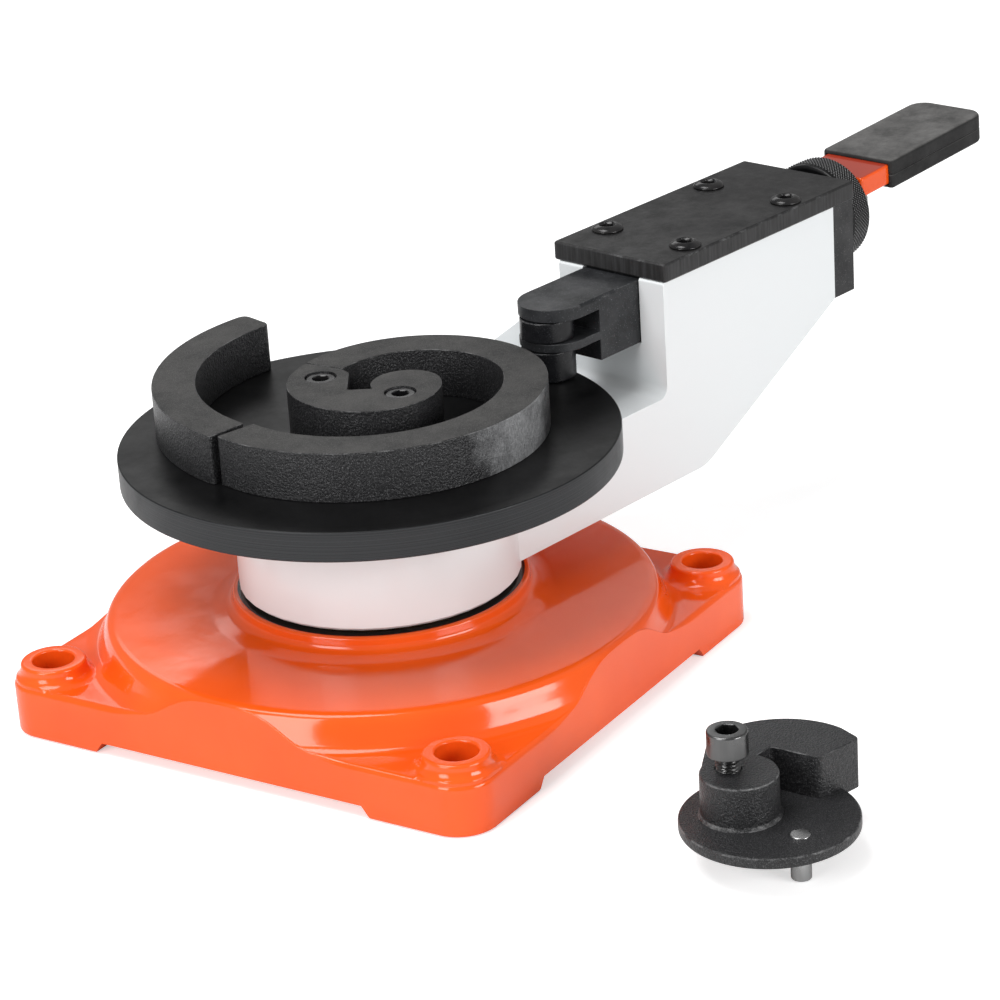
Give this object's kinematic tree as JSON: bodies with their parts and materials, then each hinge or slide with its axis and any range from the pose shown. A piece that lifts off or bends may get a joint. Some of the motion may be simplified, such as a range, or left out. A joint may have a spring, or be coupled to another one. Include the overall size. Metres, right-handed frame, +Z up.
{
  "type": "universal metal bender",
  "caption": "Bench scroll bender: a swinging roller arm with an adjustable slider runs round spiral formers on a disc, with a spare hook former beside it.",
  "frame": {"origin": "centre of the bounding box of the whole set, on the bench surface", "axes": "+X along the arm at rest towards the handle, +Z up along the pivot, +Y away from the spare former"},
  "size_m": [0.5314, 0.4008, 0.1571],
  "materials": {
    "orange_enamel": "thick glossy orange enamel on cast iron",
    "white_enamel": "glossy white enamel on a machined casting",
    "black_oxide": "black oxide on turned and milled steel, satin",
    "cast_black": "black sand-cast iron with a ground top",
    "screw_black": "black oiled screw steel, glossy",
    "bronze": "bearing bronze, turned",
    "bright_steel": "bright ground steel",
    "rubber_grip": "matte moulded rubber"
  },
  "bodies": {
    "base": {"base_casting": "orange_enamel", "pivot_post": "bright_steel", "post_washer": "bright_steel", "post_nut": "black_oxide", "lower_thrust_washer": "bronze", "upper_thrust_washer": "bronze", "table_disc": "black_oxide", "table_screw": "screw_black", "table_dowel_a": "bright_steel", "table_dowel_b": "bright_steel", "centre_former": "cast_black", "former_screw_a": "screw_black", "former_screw_b": "screw_black", "main_segment": "cast_black", "main_pin_a": "bright_steel", "main_pin_b": "bright_steel", "outer_segment": "cast_black", "outer_pin_a": "bright_steel", "outer_pin_b": "bright_steel"},
    "arm": {"arm_casting": "white_enamel", "lower_bush": "bronze", "upper_bush": "bronze", "cover_plate": "black_oxide", "cover_screw_a": "screw_black", "cover_screw_b": "screw_black", "cover_screw_c": "screw_black", "cover_screw_d": "screw_black", "end_plate": "black_oxide", "end_screw_a": "screw_black", "end_screw_b": "screw_black", "end_screw_c": "screw_black", "end_screw_d": "screw_black"},
    "nut": {"adjusting_nut": "black_oxide", "nut_circlip": "bright_steel"},
    "slider": {"slider_bar": "black_oxide", "roller_axle": "bright_steel", "draw_rod": "bright_steel", "rod_pin": "bright_steel", "handle_bar": "orange_enamel", "handle_grip": "rubber_grip", "handle_screw_a": "screw_black", "handle_screw_b": "screw_black"},
    "upper_wheel": {"upper_roller": "black_oxide"},
    "lower_wheel": {"lower_roller": "black_oxide"},
    "spare": {"spare_former": "cast_black", "spare_dowel": "bright_steel", "spare_screw": "screw_black"}
  },
  "joints": [
    {"name": "arm_swing", "type": "hinge", "parent": "base", "child": "arm", "pos_m": [-0.13362, 0.06824, 0.0714], "axis": [0, 0, 1], "range_deg": [-190, 60]},
    {"name": "nut_turn", "type": "hinge", "parent": "arm", "child": "nut", "pos_m": [0.1488, 0.04774, 0.12925], "axis": [1, 0, 0], "range_deg": [0, 2880]},
    {"name": "slider_travel", "type": "slide", "parent": "arm", "child": "slider", "axis": [1, 0, 0], "range_m": [0, 0.02]},
    {"name": "upper_roller_spin", "type": "hinge", "parent": "slider", "child": "upper_wheel", "pos_m": [-0.04162, 0.04774, 0.1331], "axis": [0, 0, 1], "continuous": true},
    {"name": "lower_roller_spin", "type": "hinge", "parent": "slider", "child": "lower_wheel", "pos_m": [-0.04162, 0.04774, 0.1174], "axis": [0, 0, 1], "continuous": true},
    {"name": "spare_lift", "type": "slide", "parent": "base", "child": "spare", "axis": [0, 0, 1], "range_m": [0, 0.06]}
  ],
  "couplings": [
    {"joint": "nut_turn", "follows": "slider_travel", "rad_per_m": 2513.3}
  ]
}
